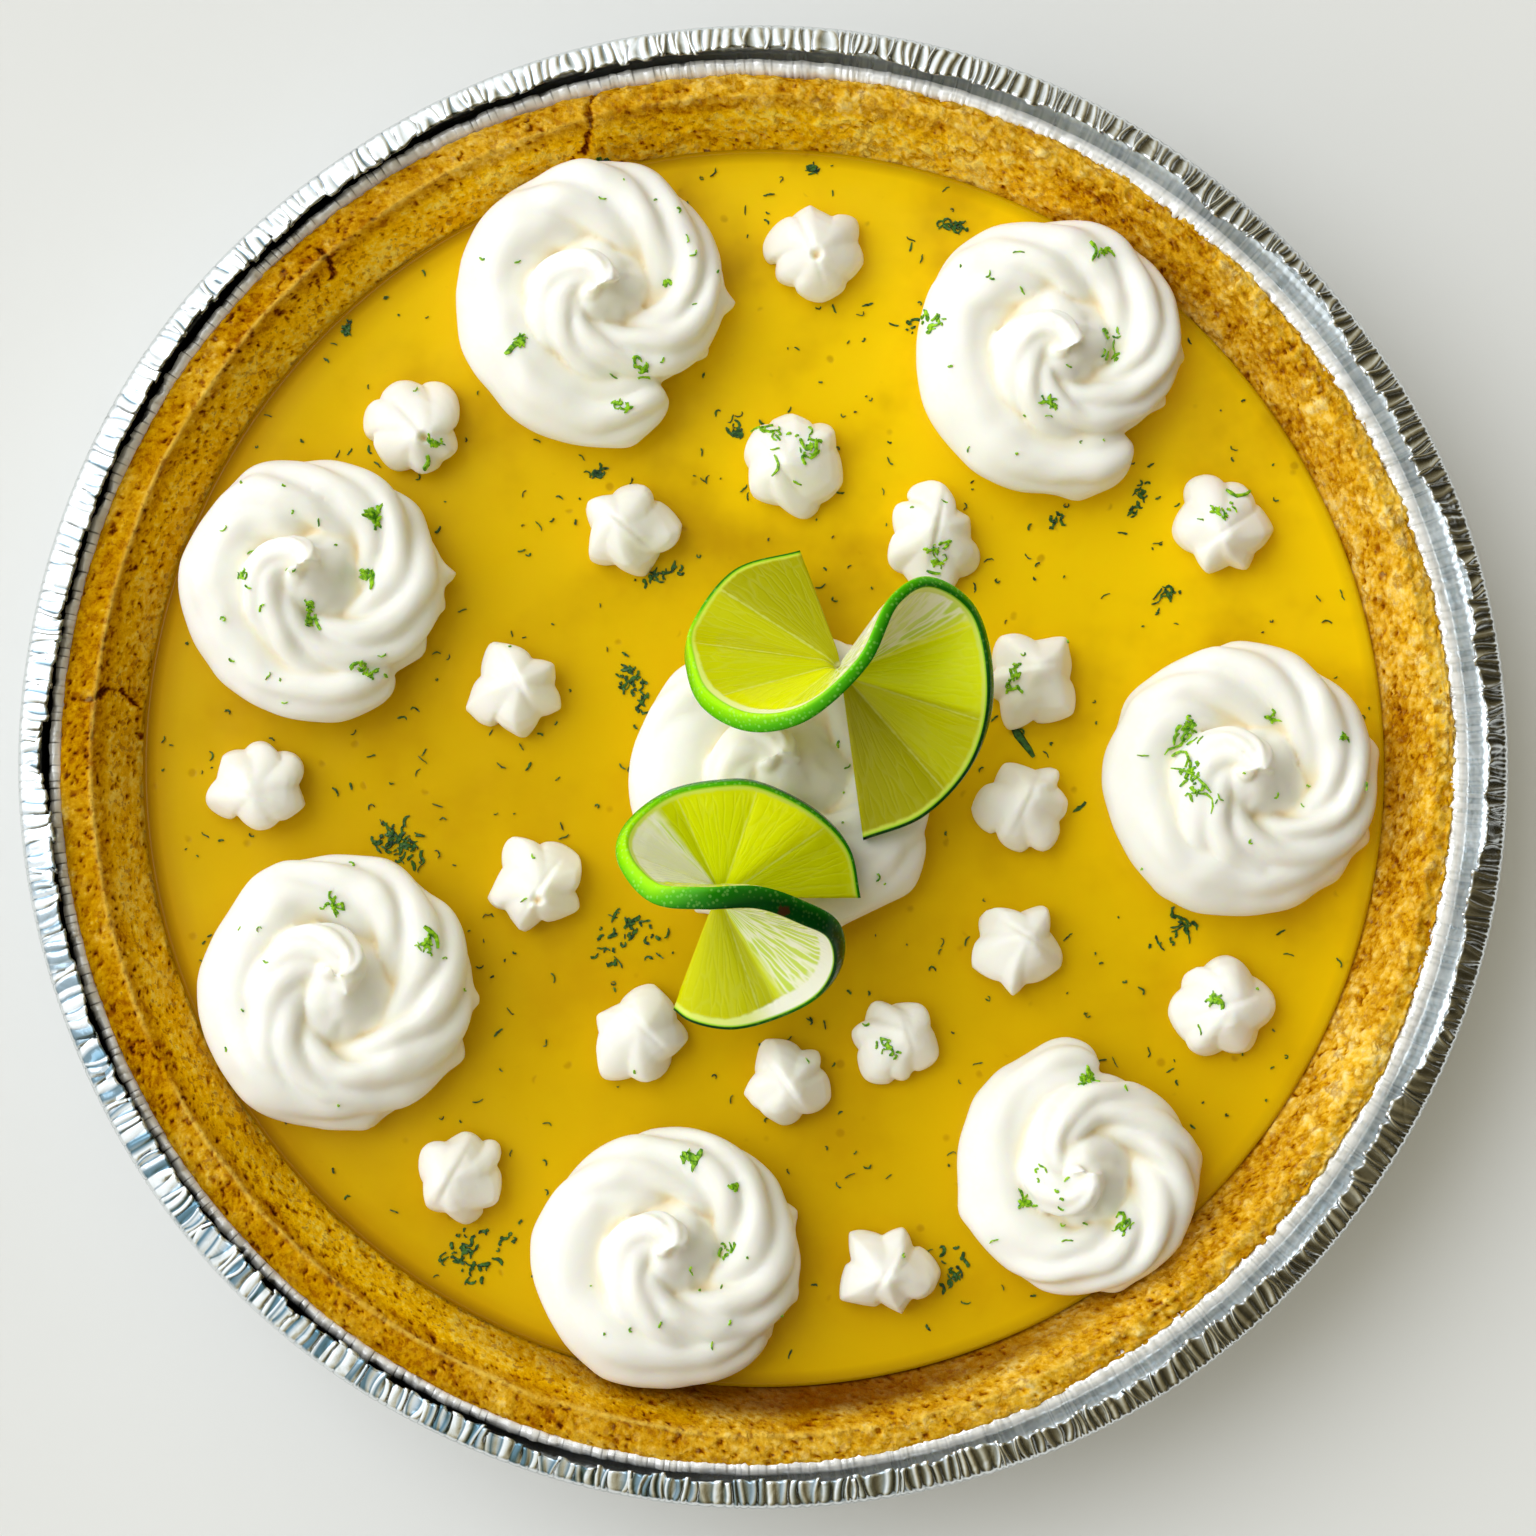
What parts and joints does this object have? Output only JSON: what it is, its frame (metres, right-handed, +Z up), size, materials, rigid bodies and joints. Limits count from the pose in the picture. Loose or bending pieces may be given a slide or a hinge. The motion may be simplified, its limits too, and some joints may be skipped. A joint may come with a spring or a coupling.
{
  "type": "key lime pie",
  "caption": "Whole key lime pie in a pleated foil tin: crumb crust, yellow lime custard, piped cream swirls and stars, lime twists and lime zest.",
  "frame": {"origin": "centre of the tin's base, on the surface that it stands on", "axes": "+Z up, +X to the right and +Y to the far side of the picture's view from above"},
  "size_m": [0.2398, 0.2398, 0.064],
  "materials": {
    "foil": "bright pleated foil",
    "crumb": "matt baked biscuit crumb",
    "custard": "glossy set custard",
    "cream": "satin whipped cream",
    "lime": "wet cut lime flesh",
    "zest": "fresh grated lime peel"
  },
  "bodies": {
    "root": {"pie_tin": "foil", "crumb_crust": "crumb", "lime_filling": "custard", "cream_swirl_1": "cream", "cream_swirl_2": "cream", "cream_swirl_3": "cream", "cream_swirl_4": "cream", "cream_swirl_5": "cream", "cream_swirl_6": "cream", "cream_swirl_7": "cream", "cream_centre": "cream", "cream_star_1": "cream", "cream_star_2": "cream", "cream_star_3": "cream", "cream_star_4": "cream", "cream_star_5": "cream", "cream_star_6": "cream", "cream_star_7": "cream", "cream_star_8": "cream", "cream_star_9": "cream", "cream_star_10": "cream", "cream_star_11": "cream", "cream_star_12": "cream", "cream_star_13": "cream", "cream_star_14": "cream", "cream_star_15": "cream", "cream_star_16": "cream", "cream_star_17": "cream", "cream_star_18": "cream", "lime_twist_1": "lime", "lime_twist_2": "lime"}
  },
  "joints": []
}
